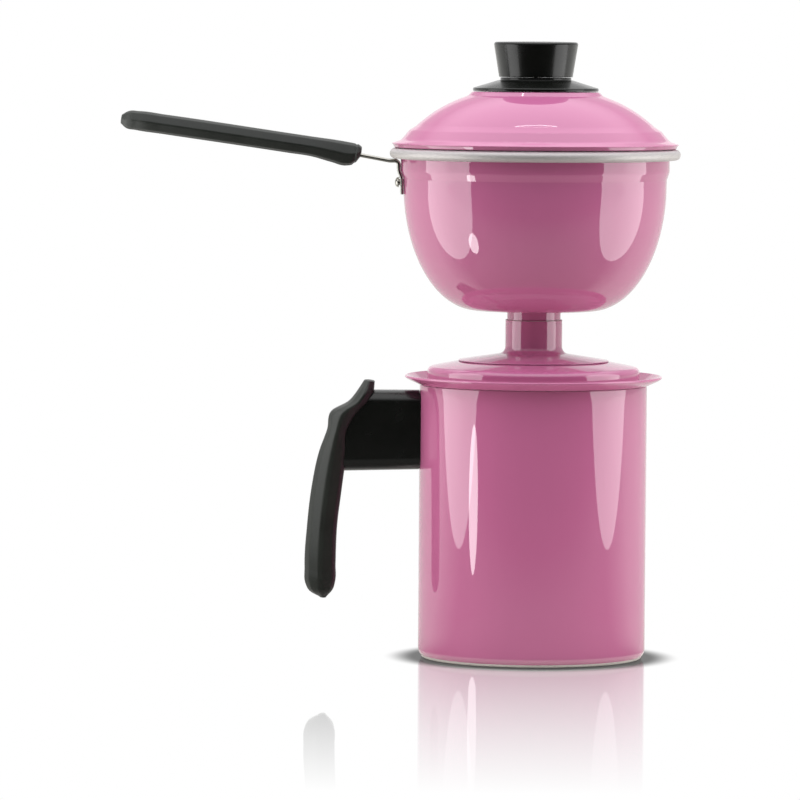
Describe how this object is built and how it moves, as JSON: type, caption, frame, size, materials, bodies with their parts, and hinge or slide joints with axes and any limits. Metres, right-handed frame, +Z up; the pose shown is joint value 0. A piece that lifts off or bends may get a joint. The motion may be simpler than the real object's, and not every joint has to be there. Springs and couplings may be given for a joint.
{
  "type": "couscous steamer",
  "caption": "Stovetop steamer: a boiling mug, a funnel lid with a steam tube, a lidded bowl on a spigot with a perforated plate inside, and two black handles.",
  "frame": {"origin": "centre of the mug's flat base, on the surface it stands on", "axes": "+Z up along the axis that mug, tube, bowl and lids share; both handles point to -X"},
  "size_m": [0.2955, 0.1534, 0.3255],
  "materials": {
    "pink_lacquer": "gloss pink lacquer on the outside of aluminium sheet",
    "bare_aluminium": "satin",
    "bright_steel": "satin",
    "black_phenolic": "gloss",
    "charcoal_phenolic": "matte",
    "brass": "satin"
  },
  "bodies": {
    "mug": {"mug_body": "pink_lacquer", "mug_handle_bracket": "bare_aluminium", "mug_rivet_lower": "bare_aluminium", "mug_rivet_upper": "bare_aluminium", "mug_handle_neck": "black_phenolic", "mug_handle_grip": "charcoal_phenolic", "mug_handle_screw": "bright_steel"},
    "steam_lid": {"mug_lid": "pink_lacquer", "steam_tube": "pink_lacquer"},
    "bowl": {"bowl_shell": "pink_lacquer", "bowl_spigot": "pink_lacquer", "bowl_handle_strap": "bright_steel", "bowl_rivet_left": "bright_steel", "bowl_rivet_right": "bright_steel", "bowl_handle_grip": "charcoal_phenolic", "bowl_handle_screw": "bright_steel"},
    "sieve": {"sieve_plate": "bare_aluminium"},
    "lid": {"lid_dome": "pink_lacquer", "knob_plate": "black_phenolic", "knob": "black_phenolic", "knob_insert": "brass", "knob_washer": "bright_steel", "knob_screw": "bright_steel"}
  },
  "joints": [
    {"name": "steam_lid_lift", "type": "slide", "parent": "mug", "child": "steam_lid", "axis": [0, 0, 1], "range_m": [0, 0.05]},
    {"name": "bowl_lift", "type": "slide", "parent": "steam_lid", "child": "bowl", "axis": [0, 0, 1], "range_m": [0, 0.05]},
    {"name": "sieve_lift", "type": "slide", "parent": "bowl", "child": "sieve", "axis": [0, 0, 1], "range_m": [0, 0.1]},
    {"name": "lid_lift", "type": "slide", "parent": "sieve", "child": "lid", "axis": [0, 0, 1], "range_m": [0, 0.06]}
  ]
}
